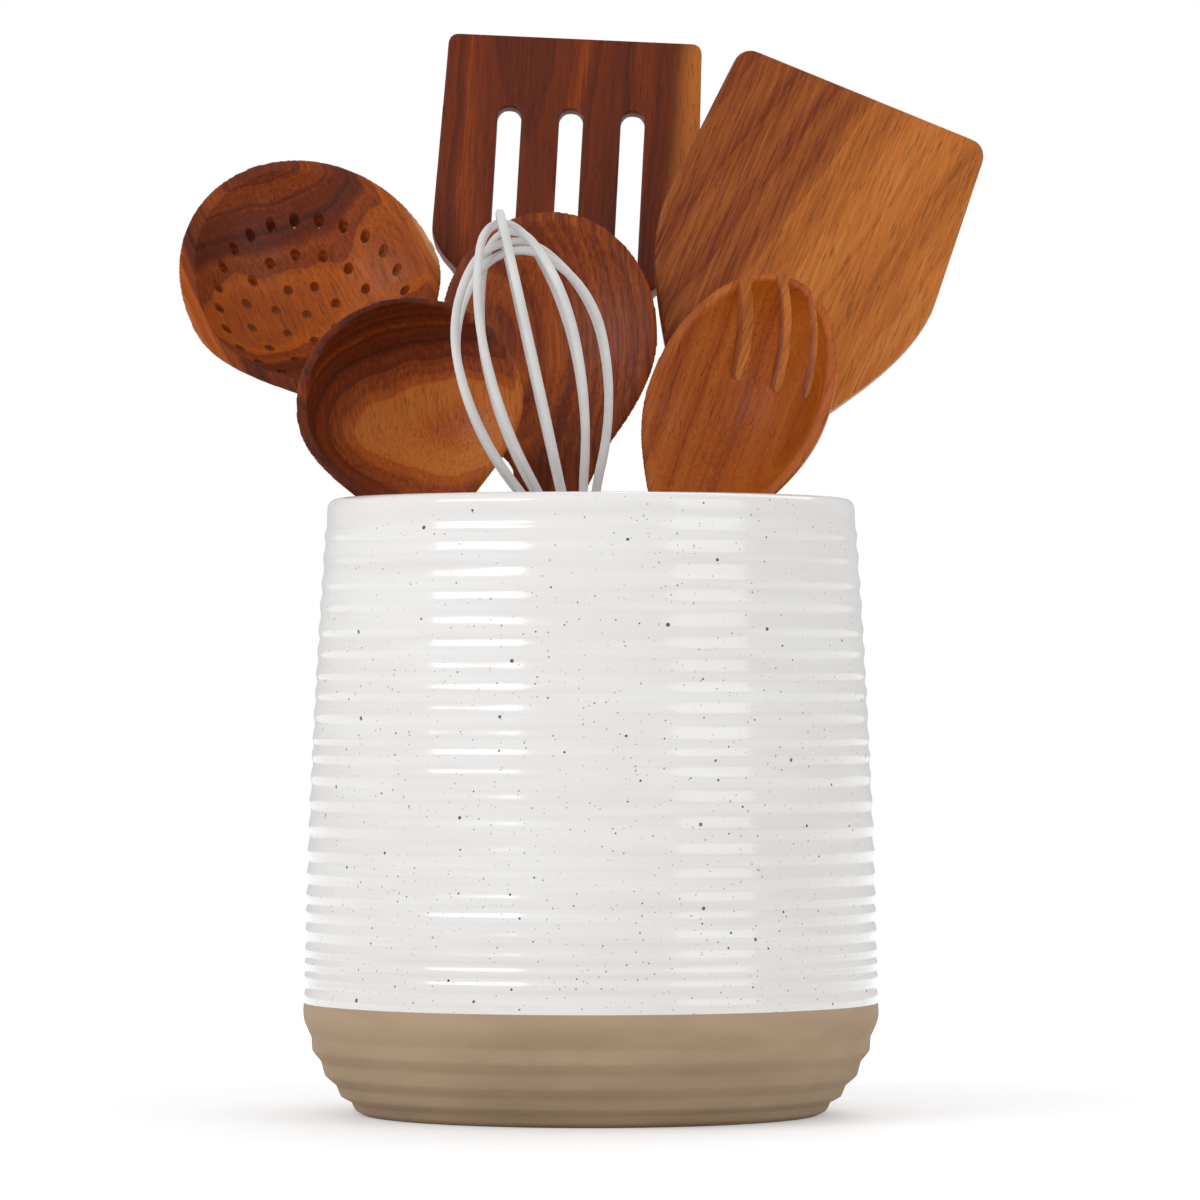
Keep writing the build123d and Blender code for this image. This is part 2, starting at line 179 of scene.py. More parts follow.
SLOT_WIDTH = 7.2 * MM
SLOT_PITCH = 18.7 * MM
SLOT_LENGTH = 64.0 * MM
SLOT_MARGIN = 24.0 * MM
SKIMMER_HOLE_RADIUS = 1.45 * MM
SKIMMER_RING_PITCH = 9.4 * MM
SKIMMER_RING_COUNTS = (7, 14, 24)
DRILL_SLOPE = 0.45
FORK_SLOT_WIDTH = 4.0 * MM
FORK_SLOT_PITCH = 12.5 * MM
FORK_SLOT_DEPTH = 31.0 * MM

# Whisk
WHISK_END_RADIUS = 6.3 * MM
WHISK_HANDLE_RADIUS = 7.2 * MM
WHISK_HANDLE_LENGTH = 124.0 * MM
FERRULE_RADIUS = 7.8 * MM
FERRULE_WALL = 0.8 * MM
FERRULE_LENGTH = 20.0 * MM
TENON_LENGTH = 9.0 * MM
JOINT_GAP = 0.05 * MM
PLUG_LENGTH = 13.0 * MM
PLUG_DOME = 2.0 * MM
WIRE_SEAT_DEPTH = 9.0 * MM
WIRE_FOOT_RADIUS = 4.7 * MM
BALLOON_HEIGHT = 112.0 * MM
BALLOON_WIDEST_SHARE = 0.64
CROWN_RADIUS = 15.5 * MM
WIRE_COUNT = 5
WIRE_ORDER = (0, 2, 4, 3, 1)
WIRE_FIRST_TURN = radians(-90)
WIRE_CLEARANCE = 0.3 * MM
ARC_STEPS = 22
WIRE_BEVEL_STEPS = 6

# How each utensil stands, as in the solids: its foot on the crock's floor and its place at the
# mouth, as shares of their radii, and its turn about its own length
END_CLEARANCE = 0.3 * MM
STANDS = {
    "slotted_turner": ((-0.323, 0.008), (-0.176, 0.869), 0.0),
    "solid_turner": ((-0.574, 0.576), (0.440, 0.762), 0.0),
    "skimmer": ((0.497, -0.328), (-0.728, 0.517), 12.0),
    "serving_spoon": ((-0.457, 0.325), (-0.712, 0.192), 13.0),
    "mixing_spoon": ((-0.040, 0.022), (-0.143, 0.570), -4.0),
    "salad_fork": ((-0.437, -0.288), (0.485, -0.024), -34.0),
    "whisk": ((0.427, -0.724), (-0.117, -0.484), 0.0),
}

# The wood of each utensil


@dataclass(frozen=True)
class Timber:
    """The wood that a utensil is cut from, in millimetres in the utensil's own frame."""

    slot: str
    places: tuple  # of the colours on the ramp, the darkest first
    pith: tuple  # across and back from the utensil's axis, at its foot
    ring_pitch: float
    lean: tuple = (0, 0)  # of the pith, across and back, as shares of the height
    tone_shift: float = 0
    contrast: float = 1.15
    bright: tuple = ()  # two radii round the pith, and how much brighter it grows between them
    sap: tuple = ()  # two radii round the pith, and the colour that it takes on between them
    waver: float = 5  # how far the rings wander
    colours: tuple = ("heart", "brown", "orange", "gold")


TIMBERS = {
    "slotted_turner": Timber(
        "red_brown_wood", (0.10, 0.42, 0.74, 1.00), (-14, 70), 4.2,
        tone_shift=-0.13, contrast=0.85, sap=(85, 89, "gold"),
    ),
    "solid_turner": Timber(
        "pale_streaked_wood", (-0.10, 0.30, 0.62, 0.90), (-150, 20), 11, lean=(0.27, 0.02),
        tone_shift=-0.09, contrast=0.50, bright=(58, 104, 0.20), waver=9,
        colours=("heart", "brown", "gold", "sap"),
    ),
    "skimmer": Timber(
        "pale_streaked_wood", (0.10, 0.40, 0.70, 0.95), (-1, -34), 4,
        tone_shift=-0.08, bright=(38, 46, 0.22), sap=(46.5, 50, "sap"),
    ),
    "serving_spoon": Timber(
        "golden_wood", (0.08, 0.40, 0.66, 0.90), (-9, -109), 3.2, lean=(0, 0.26),
        tone_shift=-0.18, contrast=0.9, bright=(61, 69, 0.46),
    ),
    "mixing_spoon": Timber(
        "red_brown_wood", (0.08, 0.40, 0.66, 0.90), (-30, 40), 3.4, tone_shift=-0.03, contrast=0.5
    ),
    "salad_fork": Timber(
        "golden_wood", (0.05, 0.32, 0.64, 1.00), (26, 30), 4, tone_shift=0.18, contrast=0.8
    ),
    "whisk_grip": Timber("golden_wood", (0.08, 0.38, 0.62, 0.90), (12, -20), 4),
}

# How all the wood looks
ALONG_GRAIN = (1, 1, 0.35)
ALONG_FIBRES = (1, 1, 0.035)
ALONG_PORES = (1, 1, 0.055)
MIDDLE_TONE = 0.275
FIBRE_TONE = 0.45
LATE_WOOD_FROM = 0.55
LATE_WOOD_TO = 0.97
LATE_WOOD_TONE = 0.12
SAP_SHARE = 0.8
PORE_SHARE = 0.42

# Glaze, clay, steel, coating and floor
ROUND_THE_GLAZE = (0.07, 0.07, 1)
ROUND_THE_CLAY = (0.3, 0.3, 1)
ROUND_THE_STEEL = (0.15, 0.15, 6)

# Layers of specks: cells for each millimetre, share of the cells with no speck at the foot,
# smallest and largest radius in millimetres, and strength
SPECK_LAYERS = ((0.62, 0.22, 0.17, 0.34, 0.55), (0.28, 0.30, 0.24, 0.66, 0.92))
SPECK_SIZE_POWER = 4  # the higher, the fewer large specks
SPECKS_LOST_UP = 0.45  # share of the cells that lose their speck by the lip
SPECKS_LOST_LEFT = 0.08  # and by the left side
THIN_GLAZE_SHARE = 0.6
# height on the heel from which painted light makes the clay paler towards the glaze
CLAY_PAINTED_LIGHT_FROM = 12.0 * MM
COATING_SHADE = 0.86  # darker patches, as a share of the colour
FLOOR_SHADE = 0.98

# Camera and studio
CAMERA_DISTANCE = 1.900
CAMERA_HEIGHT = 0.1202
CAMERA_LENS = 198.3
CAMERA_SHIFT = (0.0075, 0.0792)
FLOOR_SIZE = 6.0
FLOOR_NEAR = 0.12
FLOOR_FAR = 0.38
FLOOR_GLOW_NEAR = 0.28
FLOOR_GLOW_FAR = 0.56
LIGHTS = {  # place and size
    "key": ((-0.66, -0.56, 0.62), (0.70, 0.32)),
    "back": ((0.35, 0.60, 0.95), (0.90, 0.60)),
    "fill": ((0.75, -0.60, 0.50), (0.60, 0.60)),
}


def linear(red, green, blue):
    """A screen colour, given from 0 to 255, as the linear colour that a shader takes."""
    channels = []
    for value in (red, green, blue):
        share = value / 255
        channels.append(share / 12.92 if share <= 0.04045 else ((share + 0.055) / 1.055) ** 2.4)
    return tuple(channels)


def colour_setting(name, description, red, green, blue):
    """A colour property whose default is a screen colour."""
    return FloatVectorProperty(
        name=name, description=description, default=linear(red, green, blue),
        subtype="COLOR", size=3, min=0, max=1,
    )


def size_setting(name, description, default):
    """A property that holds a length."""
    return FloatProperty(
        name=name, description=description, default=default, unit="LENGTH", subtype="DISTANCE"
    )


def power_setting(name, description, default):
    """A property that holds a light's power."""
    return FloatProperty(name=name, description=description, default=default, min=0, unit="POWER")


class CrockSettings(bpy.types.PropertyGroup):
    """Sizes and colours of the crock."""

    height: size_setting(
        "Height", "From the foot to the top of the lip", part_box("crock_glaze")[1].z
    )
    belly_radius: size_setting("Belly radius", "Radius where the crock is widest", 82.5 * MM)
    wall_thickness: size_setting("Wall", "Thickness of the wall", 6.0 * MM)
    rib_depth: size_setting("Rib depth", "From a rib's crest to its groove", 0.45 * MM)
    glaze: colour_setting("Glaze", "Colour of the glaze", 241, 240, 238)
    glaze_thin: colour_setting("Thin glaze", "Where the glaze runs thin", 232, 227, 224)
    clay: colour_setting("Clay", "Colour of the bare clay", 182, 156, 127)
    # the dark clay serves both for random darker patches and for the painted shade low on the heel
    # by the floor
    clay_patches_and_shade: colour_setting("Dark clay", "Darker patches of the clay", 160, 136, 108)
    speck: colour_setting("Speck", "Colour of the specks in the glaze", 52, 46, 44)


class WoodSettings(bpy.types.PropertyGroup):
    """Colours of the wooden utensils."""

    heart: colour_setting("Heartwood", "Darkest growth rings", 58, 20, 6)
    brown: colour_setting("Brown", "Reddish-brown wood", 112, 42, 8)
    orange: colour_setting("Orange", "Bright orange wood", 172, 82, 10)
    gold: colour_setting("Gold", "Golden wood", 194, 112, 42)
    sap: colour_setting("Sapwood", "Palest wood", 212, 160, 108)


class WhiskSettings(bpy.types.PropertyGroup):
    """Sizes and colours of the whisk."""

    balloon_radius: size_setting("Balloon radius", "From the axis to the widest wire", 21.8 * MM)
    wire_radius: size_setting("Wire radius", "Outer radius of the coating", 1.25 * MM)
    coating: colour_setting("Coating", "Colour of the soft coating", 222, 221, 219)
    steel: colour_setting("Steel", "Colour of the ferrule", 176, 176, 178)


class StudioSettings(bpy.types.PropertyGroup):
    """Light and floor of the studio."""

    floor: colour_setting("Floor", "Colour of the floor", 235, 235, 236)
    world_strength: FloatProperty(
        name="World", description="Strength of the light from all round", default=0.60, min=0
    )
    key_power: power_setting("Key light", "Power of the large light at front left", 3.3)
    back_power: power_setting("Back light", "Power of the light above and behind", 2.4)
    fill_power: power_setting("Fill light", "Power of the light at front right", 1.8)


# Modelling helpers


def deselect():
    """Nothing selected, so that the next operator acts only on what it adds."""
    bpy.ops.object.select_all(action="DESELECT")


def named(name):
    """The object just added, named, with its size, turn and place moved into its mesh."""
    piece = bpy.context.object
    piece.name = name
    piece.data.name = name
    bpy.ops.object.transform_apply(location=True, rotation=True, scale=True)
    return piece


def make_active(piece):
    """Only this piece selected, and active."""
    deselect()
    piece.select_set(True)
    bpy.context.view_layer.objects.active = piece


def modify(piece, kind, **settings):
    """Adds one modifier to a piece and applies it."""
    make_active(piece)
    modifier = piece.modifiers.new(kind.title(), kind)
    for key, value in settings.items():
        setattr(modifier, key, value)
    bpy.ops.object.modifier_apply(modifier=modifier.name)


def combine(piece, other, operation):
    """Joins another piece to this one, or cuts it away, and deletes the other."""
    modify(piece, "BOOLEAN", operation=operation, object=other, solver="MANIFOLD")
    bpy.data.objects.remove(other)


def joined(pieces):
    """Several pieces as one mesh."""
    make_active(pieces[0])
    for piece in pieces:
        piece.select_set(True)
    bpy.ops.object.join()
    return pieces[0]


def tidy(piece):
    """Welds doubles and turns every face outwards."""
    make_active(piece)
    bpy.ops.object.mode_set(mode="EDIT")
    bpy.ops.mesh.select_all(action="SELECT")
    bpy.ops.mesh.remove_doubles(threshold=WELD)
    bpy.ops.mesh.normals_make_consistent(inside=False)
    bpy.ops.object.mode_set(mode="OBJECT")


def shade(piece):
    """Smooth shading that keeps edges sharper than an angle."""
    make_active(piece)
    bpy.ops.object.shade_smooth_by_angle(angle=SMOOTH_ANGLE)


def rod(name, radius, depth, location, rotation=(0, 0, 0), steps=HANDLE_STEPS):
    """A round rod, which cuts a hole."""
    deselect()
    bpy.ops.mesh.primitive_cylinder_add(
        vertices=steps, radius=radius, depth=depth, location=location, rotation=rotation
    )
    return named(name)


def carve(piece, place):
    """Moves each vertex of a piece to where place(x, y, z) puts it."""
    for vertex in piece.data.vertices:
        vertex.co = place(*vertex.co)


def turned(name, profile, steps):
    """A turned piece: a vertex is walked along the profile by extruding it, then screwed round."""
    radius, height = profile[0]
    deselect()
    bpy.ops.mesh.primitive_plane_add(size=MM, location=(radius, 0, height))
    piece = named(name)
    bpy.ops.object.mode_set(mode="EDIT")
    bpy.ops.mesh.select_all(action="SELECT")
    bpy.ops.mesh.merge(type="CENTER")
    for (radius, height), (next_radius, next_height) in zip(profile, profile[1:]):
        step = (next_radius - radius, 0, next_height - height)
        bpy.ops.mesh.extrude_vertices_move(TRANSFORM_OT_translate={"value": step})
    bpy.ops.object.mode_set(mode="OBJECT")
    modify(piece, "SCREW", axis="Z", steps=steps, render_steps=steps)
    tidy(piece)
    return piece


def arc(centre, radius, first, last, steps):
    """Points of an arc in a profile, from one angle to another."""
    points = []
    for step in range(steps + 1):
        angle = first + (last - first) * step / steps
        points.append((centre[0] + radius * cos(angle), centre[1] + radius * sin(angle)))
    return points


def ease(share):
    """A smooth rise from 0 to 1."""
    return share * share * (3 - 2 * share)


# Where things stand


def wall_radius(crock, height):
    """Radius of the crock's smooth outer surface from the belly up."""
    share = (height - BELLY_HEIGHT) / (crock.height - BELLY_HEIGHT)
    return crock.belly_radius - WALL_TAPER * share - WALL_BOW * share**2


def heel_radius_at(crock, height, depth):
    """Radius of the heel's arc at a height, at a depth in from the outer surface."""
    reach = sqrt((HEEL_RADIUS - depth) ** 2 - (BELLY_HEIGHT - height) ** 2)
    return crock.belly_radius - HEEL_RADIUS + reach


def stand(crock, body):
    """The place and turn of a utensil: its rounded end's centre is its origin."""
    foot_shares, mouth_shares, turn = STANDS[body]
    end_radius = WHISK_END_RADIUS if body == "whisk" else HANDLE_END_RADIUS
    lip_height = crock.height - crock.wall_thickness * LIP_RADIUS_SHARE
    floor_radius = heel_radius_at(crock, FLOOR_THICKNESS, crock.wall_thickness)
    mouth_radius = wall_radius(crock, lip_height) - crock.wall_thickness
    foot = Vector((*foot_shares, 0)) * floor_radius
    foot.z = FLOOR_THICKNESS + END_CLEARANCE + end_radius
    mouth = Vector((*mouth_shares, 0)) * mouth_radius
    mouth.z = crock.height
    along = (mouth - foot).normalized()
    across = (Vector((1, 0, 0)) - along * along.x).normalized()
    axes = Matrix((across, along.cross(across), along)).transposed()
    return Matrix.Translation(foot) @ axes.to_4x4() @ Matrix.Rotation(radians(turn), 4, "Z")


def place(piece, where):
    """Moves a piece from its own frame to where it stands, in its mesh."""
    piece.data.transform(where)
    piece.data.update()


# Shader helpers


class Term:
    """A number or colour on a shader's graph, which Python's operators add nodes to."""

    def __init__(self, shader, socket):
        self.shader = shader
        self.socket = socket

    def __add__(self, other):
        return self.shader.math("ADD", self, other)

    def __sub__(self, other):
        return self.shader.math("SUBTRACT", self, other)

    def __rsub__(self, other):
        return self.shader.math("SUBTRACT", other, self)

    def __mul__(self, other):
        return self.shader.math("MULTIPLY", self, other)

    def __truediv__(self, other):
        return self.shader.math("DIVIDE", self, other)

    def __pow__(self, other):
        return self.shader.math("POWER", self, other)

    __radd__ = __add__
    __rmul__ = __mul__

    def between(self, low, high):
        """0 below low, 1 above high, and a smooth rise from one to the other."""
        settings = {"interpolation_type": "SMOOTHSTEP"}
        inputs = {"Value": self, "From Min": low, "From Max": high}
        return self.shader.add("ShaderNodeMapRange", settings, inputs)


class Shader:
    """The node graph of a new material or world, with one method that adds any node."""

    def __init__(self, owner):
        self.owner = owner
        owner.use_nodes = True
        self.nodes = owner.node_tree.nodes
        self.links = owner.node_tree.links
        self.nodes.clear()

    def add(self, kind, settings=None, inputs=None, output=0):
        """Adds a node, sets it, fills its inputs, and gives back one output."""
        node = self.nodes.new(kind)
        for key, value in (settings or {}).items():
            if key == "stops":
                self.set_stops(node.color_ramp, value)
            else:
                setattr(node, key, value)
        for key, value in (inputs or {}).items():
            socket = node.inputs[key]
            if isinstance(value, Term):
                self.links.new(value.socket, socket)
            else:
                socket.default_value = (*value, 1) if socket.type == "RGBA" else value
        return Term(self, node.outputs[output]) if node.outputs else None

    def set_stops(self, ramp, stops):
        """Puts a ramp's stops, (place, colour), in order."""
        while len(ramp.elements) < len(stops):
            ramp.elements.new(1)
        for element, (position, shown) in zip(ramp.elements, stops):
            element.position = position
            element.color = (*shown, 1)

    def math(self, operation, *values):
        """What a Math node makes of its values."""
        return self.add("ShaderNodeMath", {"operation": operation}, dict(enumerate(values)))

    def coordinates(self, where=None):
        """Object coordinates in millimetres, in a utensil's own frame if one is given."""
        inverse = where.inverted() if where else Matrix()
        scale = 1 / MM
        inputs = {
            "Vector": self.add("ShaderNodeTexCoord", output="Object"),
            "Location": inverse.translation * scale,
            "Rotation": inverse.to_euler(),
            "Scale": (scale, scale, scale),
        }
        return self.add("ShaderNodeMapping", {"vector_type": "POINT"}, inputs)

    def scaled(self, vector, scale, offset=(0, 0, 0)):
        """A vector times a scale, plus an offset."""
        inputs = {0: vector, 1: scale, 2: offset}
        return self.add("ShaderNodeVectorMath", {"operation": "MULTIPLY_ADD"}, inputs)

    def part(self, vector, index):
        """One of a vector's three numbers."""
        return self.add("ShaderNodeSeparateXYZ", None, {0: vector}, index)

    def noise(self, vector, scale, detail=2.0, roughness=0.5, output="Fac"):
        """Smooth noise from 0 to 1, or three of them as a colour."""
        inputs = {"Vector": vector, "Scale": scale, "Detail": detail, "Roughness": roughness}
        return self.add("ShaderNodeTexNoise", None, inputs, output)

    def specks(self, vector, density, smallest, largest, bare):
        """A layer of round specks: 1 in a speck, and 0 elsewhere and in the cells left bare."""
        inputs = {"Vector": vector, "Scale": density}
        distance = self.add("ShaderNodeTexVoronoi", None, inputs, "Distance")
        cell = self.add("ShaderNodeTexVoronoi", None, inputs, "Color")
        chance, size = (self.add("ShaderNodeSeparateColor", None, {0: cell}, n) for n in (0, 1))
        low = smallest * density
        high = largest * density
        reach = low + (high - low) * size**SPECK_SIZE_POWER
        chosen = self.math("GREATER_THAN", chance, bare)
        return self.math("LESS_THAN", distance, reach) * chosen

    def mix(self, share, first, second):
        """Two colours mixed by a share."""
        inputs = {0: share, 6: first, 7: second}
        return self.add("ShaderNodeMix", {"data_type": "RGBA"}, inputs, 2)

    def bump(self, height, distance):
        """A normal bent by a height."""
        return self.add("ShaderNodeBump", None, {"Height": height, "Distance": distance})

    def finish(self, **inputs):
        """Ends in one Principled surface, and gives the material."""
        values = {key.replace("_", " "): value for key, value in inputs.items()}
        surface = self.add("ShaderNodeBsdfPrincipled", None, values)
        self.add("ShaderNodeOutputMaterial", None, {"Surface": surface})
        return self.owner


def material_shader(name):
    """The empty node graph of a new material."""
    return Shader(bpy.data.materials.new(name))


def dimmed(shown, share):
    """A colour made darker, to a share of its light."""
    return tuple(share * channel for channel in shown)


def dress(piece, material, body, slot, *nodes):
    """Gives a piece its material and its body, and hides the nodes it stands for; the slot is not
    used.
    """
    piece.data.materials.clear()
    piece.data.materials.append(material)
    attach(piece, body)
    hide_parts(*nodes)


# Materials


def glaze_material(crock):
    """Glossy off-white glaze, a little uneven in colour, with dark specks."""
    shader = material_shader("Speckled glaze")
    coords = shader.coordinates()
    bands = shader.noise(shader.scaled(coords, ROUND_THE_GLAZE), scale=0.20, detail=3.0)
    cloud = shader.noise(coords, scale=0.03)
    thin = (bands * 0.7 + cloud * 0.3).between(0.36, 0.66)
    shown = shader.mix(thin * THIN_GLAZE_SHARE, crock.glaze, crock.glaze_thin)
    height = shader.part(coords, 2) / (crock.height / MM)
    left = shader.part(coords, 0) / (-crock.belly_radius / MM)
    bare = height * SPECKS_LOST_UP + left * SPECKS_LOST_LEFT
    for density, rarity, smallest, largest, strength in SPECK_LAYERS:
        specks = shader.specks(coords, density, smallest, largest, bare + rarity)
        shown = shader.mix(specks * strength, shown, crock.speck)
    normal = shader.bump(shader.noise(coords, scale=0.45, detail=1.0), 0.02 * MM)
    return shader.finish(
        Base_Color=shown, Roughness=0.16, Normal=normal, Coat_Weight=0.35, Coat_Roughness=0.06
    )


def clay_material(crock):
    """Matte bare stoneware with fine grit; painted light makes it paler up the heel towards the
    glaze, and painted shade makes it darker down by the floor.
    """
    shader = material_shader("Bare clay")
    coords = shader.coordinates()
    cloud = shader.noise(shader.scaled(coords, ROUND_THE_CLAY), scale=0.09, detail=4.0)
    grit = shader.noise(coords, scale=2.2, detail=4.0, roughness=0.7)
    height = shader.part(coords, 2) * MM
    # painted light and shade: the clay turns paler up the heel towards the glaze and darker down by
    # the floor, as the light falls
    pale = height.between(CLAY_PAINTED_LIGHT_FROM, GLAZE_LINE_HEIGHT)
    tone = (cloud * 0.75 + grit * 0.35).between(0.35, 0.75)
    shown = shader.mix(tone * 0.7 + pale * 0.5, crock.clay_patches_and_shade, crock.clay)
    normal = shader.bump(grit, 0.07 * MM)
    return shader.finish(Base_Color=shown, Roughness=0.82, Normal=normal)


def wood_material(wood, name, where):
    """Solid oiled wood: growth rings round a pith, streaked by fibres and flecked by pores."""
    timber = TIMBERS[name]
    shader = material_shader(f"{name.replace('_', ' ').capitalize()} wood")
    coords = shader.coordinates(where)
    slow = shader.scaled(coords, ALONG_GRAIN)
    slow = shader.noise(slow, scale=0.022, detail=3.0, output="Color")
    waver = timber.waver
    bend = shader.scaled(slow, (2 * waver, 2 * waver, 0), (-waver, -waver, 0))
    bent = shader.add("ShaderNodeVectorMath", {"operation": "ADD"}, {0: coords, 1: bend})
    across, back, along = (shader.part(bent, index) for index in range(3))
    side = across - timber.pith[0] - along * timber.lean[0]
    deep = back - timber.pith[1] - along * timber.lean[1]
    reach = (side * side + deep * deep) ** 0.5
    ring = reach / timber.ring_pitch
    ring_tone = shader.add(
        "ShaderNodeTexNoise", {"noise_dimensions": "1D"},
        {"W": ring, "Scale": 0.55, "Detail": 3.0, "Roughness": 0.6},
    )
    late = shader.math("FRACT", ring)
    late = late.between(LATE_WOOD_FROM, LATE_WOOD_TO) * (1 - late.between(LATE_WOOD_TO, 1))
    fibres = shader.scaled(coords, ALONG_FIBRES)
    fibres = shader.noise(fibres, scale=1.1, detail=5.0, roughness=0.65)
    pores = shader.noise(shader.scaled(coords, ALONG_PORES), scale=2.6).between(0.60, 0.68)
    tone = ring_tone * timber.contrast + fibres * FIBRE_TONE
    tone = tone - late * (LATE_WOOD_TONE * timber.contrast)
    tone = tone + (timber.tone_shift + MIDDLE_TONE - timber.contrast / 2)
    if timber.bright:
        start, end, amount = timber.bright
        tone = tone + reach.between(start, end) * amount
    stops = [(at, getattr(wood, shade)) for at, shade in zip(timber.places, timber.colours)]
    shown = shader.add("ShaderNodeValToRGB", {"stops": stops}, {0: tone})
    if timber.sap:
        start, end, pale = timber.sap
        shown = shader.mix(reach.between(start, end) * SAP_SHARE, shown, getattr(wood, pale))
    shown = shader.mix(pores * PORE_SHARE, shown, wood.heart)
    return shader.finish(
        Base_Color=shown, Roughness=0.46 + pores * 0.2, Specular_IOR_Level=0.22,
        Normal=shader.bump(fibres * 0.4 - pores * 0.6, 0.09 * MM),
        Coat_Weight=0.03, Coat_Roughness=0.3,
    )


def silicone_material(whisk):
    """Soft matte coating with a faint moulded grain."""
    shader = material_shader("Soft coating")
    coords = shader.coordinates()
    cloud = shader.noise(coords, scale=0.06).between(0.3, 0.7)
    shown = shader.mix(cloud, dimmed(whisk.coating, COATING_SHADE), whisk.coating)
    normal = shader.bump(shader.noise(coords, scale=3.0), 0.01 * MM)
    return shader.finish(Base_Color=shown, Roughness=0.55, Normal=normal)


def steel_material(whisk, where):
    """Steel brushed round the whisk's axis."""
    shader = material_shader("Brushed steel")
    coords = shader.coordinates(where)
    brushed = shader.noise(shader.scaled(coords, ROUND_THE_STEEL), scale=1.5, detail=3.0)
    return shader.finish(
        Base_Color=whisk.steel, Metallic=1.0, Roughness=0.22 + brushed * 0.2,
        Normal=shader.bump(brushed, 0.006 * MM),
    )


# Crock


def lip_arc(crock, inset):
    """Points over the rolled lip, from the outside to the inside."""
    lip_radius = crock.wall_thickness * LIP_RADIUS_SHARE
    lip_height = crock.height - lip_radius
    middle = wall_radius(crock, lip_height) - lip_radius
    return arc((middle, lip_height), lip_radius - inset, 0, pi, 2 * END_STEPS)


def ribbed_wall(crock, depth):
    """Points up the ribbed outer wall, from crest to groove to crest, at a depth inside it."""
    turns = []
    crest = FIRST_RIB_HEIGHT
    for share in RIB_PITCH_SHARES:
        turns.append((crest, crock.rib_depth / 2))
        turns.append((crest + share * RIB_PITCH / 2, -crock.rib_depth / 2))
        crest += share * RIB_PITCH
    turns = [(GLAZE_LINE_HEIGHT, 0.0), *turns]
    turns.append((crock.height - crock.wall_thickness * LIP_RADIUS_SHARE, 0.0))
    points = []
    for (height, offset), (next_height, next_offset) in zip(turns, turns[1:]):
        for step in range(RIB_STEPS):
            share = step / RIB_STEPS
            level = height + (next_height - height) * share
            out = offset + (next_offset - offset) * ease(share)
            points.append((wall_radius(crock, level) + out - depth, level))
    return points


def inner_wall(crock, depth, floor_height):
    """Points down the inside, from under the lip to the edge of the floor."""
    top = crock.height - crock.wall_thickness * LIP_RADIUS_SHARE
    points = []
    for step in range(1, WALL_STEPS + 1):
        height = top + (BELLY_HEIGHT - top) * step / WALL_STEPS
        points.append((wall_radius(crock, height) - depth, height))
    for step in range(1, WALL_STEPS + 1):
        height = BELLY_HEIGHT + (floor_height - BELLY_HEIGHT) * step / WALL_STEPS
        points.append((heel_radius_at(crock, height, depth), height))
    return points


def scalloped_heel(crock):
    """Points up the bare heel, in at each groove and out at each crest between them."""
    sweep = asin(BELLY_HEIGHT / HEEL_RADIUS)
    grooves = (1, *reversed(HEEL_GROOVE_SHARES), 0)
    points = []
    for lower, upper in zip(grooves, grooves[1:]):
        for step in range(2 * RIB_STEPS):
            share = step / (2 * RIB_STEPS)
            place_share = lower + (upper - lower) * share
            ends = HEEL_RIB_DEPTH / 2 * (1 - share if lower < 1 else 0)
            ends += HEEL_RIB_DEPTH / 2 * (share if upper > 0 else 0)
            offset = HEEL_RIB_DEPTH / 2 * sin(pi * share) - ends * abs(cos(pi * share))
            angle = place_share * sweep
            reach = HEEL_RADIUS + offset
            centre = crock.belly_radius - HEEL_RADIUS
            points.append((centre + reach * cos(angle), BELLY_HEIGHT - reach * sin(angle)))
    return points


def thrown(crock, piece):
    """Makes the ribs a little uneven round the wall, always inwards, as hand-thrown ribs are."""
    scale = Vector((THROWN_SCALE, THROWN_SCALE, THROWN_SCALE * THROWN_STRETCH))

    def uneven(x, y, z):
        radius = hypot(x, y)
        if radius < wall_radius(crock, z) - crock.wall_thickness / 2 or z < GLAZE_LINE_HEIGHT:
            return x, y, z
        wave = noise.noise(Vector((x, y, z)) * scale)
        share = 1 - THROWN_REACH * (0.5 + 0.5 * wave) / radius
        return x * share, y * share, z

    carve(piece, uneven)


class CROCK_OT_add_crock(bpy.types.Operator):
    """Adds the clay body and the glaze over it"""

    bl_idname = "crock.add_crock"
    bl_label = "Crock"

    def execute(self, context):
        crock = context.scene.crock
        clay_depth = crock.wall_thickness - GLAZE_THICKNESS
        clay_floor = FLOOR_THICKNESS - GLAZE_THICKNESS
        under_glaze = [
            *ribbed_wall(crock, GLAZE_THICKNESS)[::RIB_STEPS],
            *lip_arc(crock, GLAZE_THICKNESS),
            *inner_wall(crock, clay_depth, clay_floor),
        ]
        line = (wall_radius(crock, GLAZE_LINE_HEIGHT), GLAZE_LINE_HEIGHT)
        clay = turned(
            "clay_body",
            [(0, 0), *scalloped_heel(crock), line, *under_glaze, (0, clay_floor)],
            CROCK_STEPS,
        )
        bead = arc(
            (line[0] - GLAZE_BEAD, line[1] + GLAZE_BEAD), GLAZE_BEAD, -pi / 2, 0, END_STEPS // 2
        )
        outside = [point for point in ribbed_wall(crock, 0) if point[1] > line[1] + GLAZE_BEAD]
        glaze = turned(
            "glaze_coat",
            [
                (line[0] - GLAZE_THICKNESS, line[1]),
                *bead,
                *outside,
                *lip_arc(crock, 0),
                *inner_wall(crock, crock.wall_thickness, FLOOR_THICKNESS),
                (0, FLOOR_THICKNESS),
                (0, clay_floor),
                *reversed(under_glaze),
            ],
            CROCK_STEPS,
        )
        thrown(crock, clay)
        thrown(crock, glaze)
        shade(clay)
        shade(glaze)
        dress(clay, clay_material(crock), "crock", "raw_clay", "crock_body")
        dress(glaze, glaze_material(crock), "crock", "white_glaze", "crock_glaze")
        return {"FINISHED"}


# Wooden utensils


